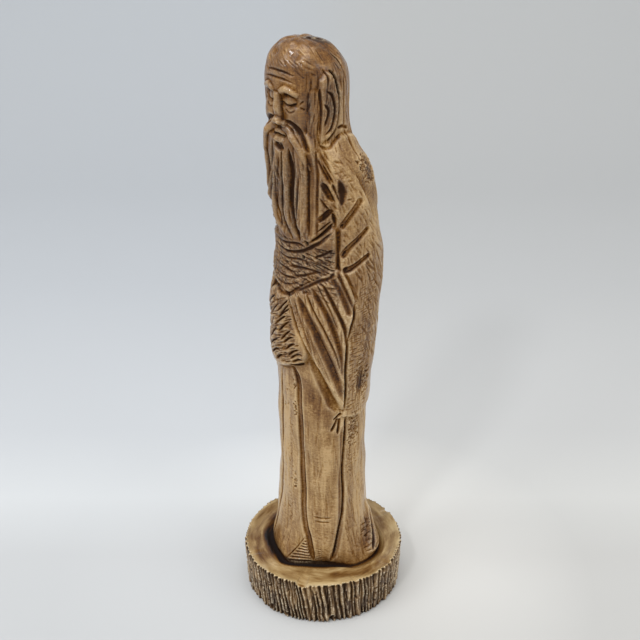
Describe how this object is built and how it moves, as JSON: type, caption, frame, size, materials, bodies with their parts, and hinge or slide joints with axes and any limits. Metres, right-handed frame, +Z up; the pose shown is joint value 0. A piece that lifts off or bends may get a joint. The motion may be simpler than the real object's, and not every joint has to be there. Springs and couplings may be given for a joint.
{
  "type": "sage figurine",
  "caption": "Tall cast figurine of a robed, bearded sage with folded sleeves, carved like wood and standing on a round slice of log with a bark edge.",
  "frame": {"origin": "centre of the log's flat underside, at the centre of the bounding box", "axes": "+Z up along the figure, -Y the way the figure faces, +X to the figure's left hand"},
  "size_m": [0.0855, 0.0862, 0.3063],
  "materials": {
    "antiqued_resin": "tan casting resin with a wood-carving surface, a dark brown wash in the cuts and a glossy varnish"
  },
  "bodies": {
    "root": {"sage_figurine": "antiqued_resin"}
  },
  "joints": []
}
